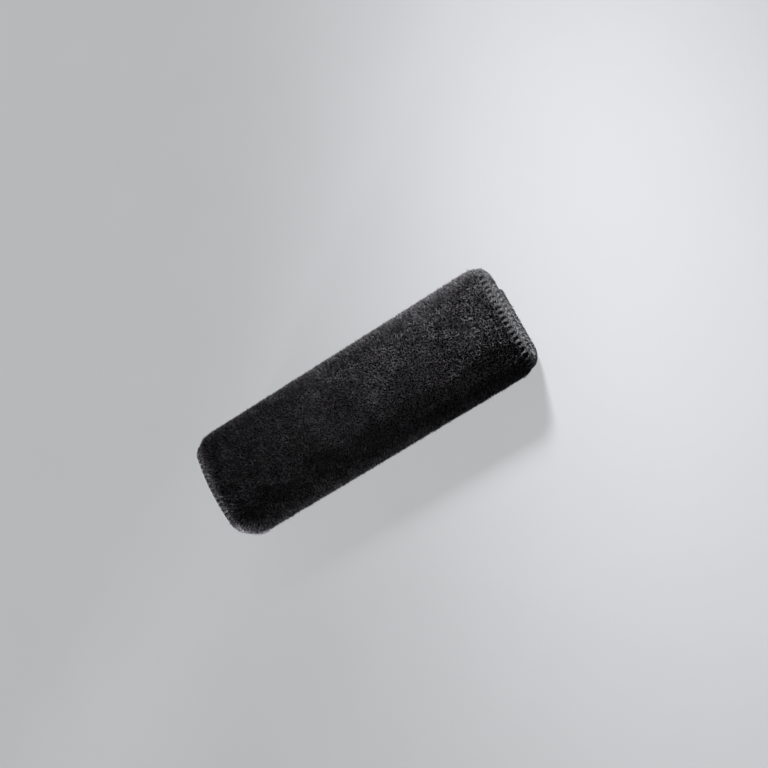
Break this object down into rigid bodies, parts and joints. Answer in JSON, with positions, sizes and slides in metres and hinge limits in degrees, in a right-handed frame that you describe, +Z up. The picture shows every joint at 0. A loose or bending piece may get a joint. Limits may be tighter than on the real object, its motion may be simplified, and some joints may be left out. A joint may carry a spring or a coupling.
{
  "type": "seat belt shoulder pad",
  "caption": "Padded plush sleeve that wraps round a seat belt at the shoulder, with a hook and loop closure along its back.",
  "frame": {"origin": "under the middle of the pad, on the surface that it lies on", "axes": "+X along the belt, +Y across it towards the narrow fold, +Z up out of the plush front"},
  "size_m": [0.228, 0.0752, 0.0384],
  "materials": {
    "plush": "black polyester cut pile, soft sheen on the tips",
    "foam": "thin polyurethane foam sheet",
    "lining": "smooth black knitted polyester",
    "overlock_thread": "charcoal textured polyester thread",
    "closure_tape": "black nylon hook and loop tape"
  },
  "bodies": {
    "root": {"plush_fabric": "plush", "foam_layer": "foam", "lining": "lining", "overlock_right_end": "overlock_thread", "overlock_left_end": "overlock_thread", "overlock_outer_flap": "overlock_thread", "overlock_inner_flap": "overlock_thread", "loop_tape": "closure_tape", "hook_tape": "closure_tape"}
  },
  "joints": []
}
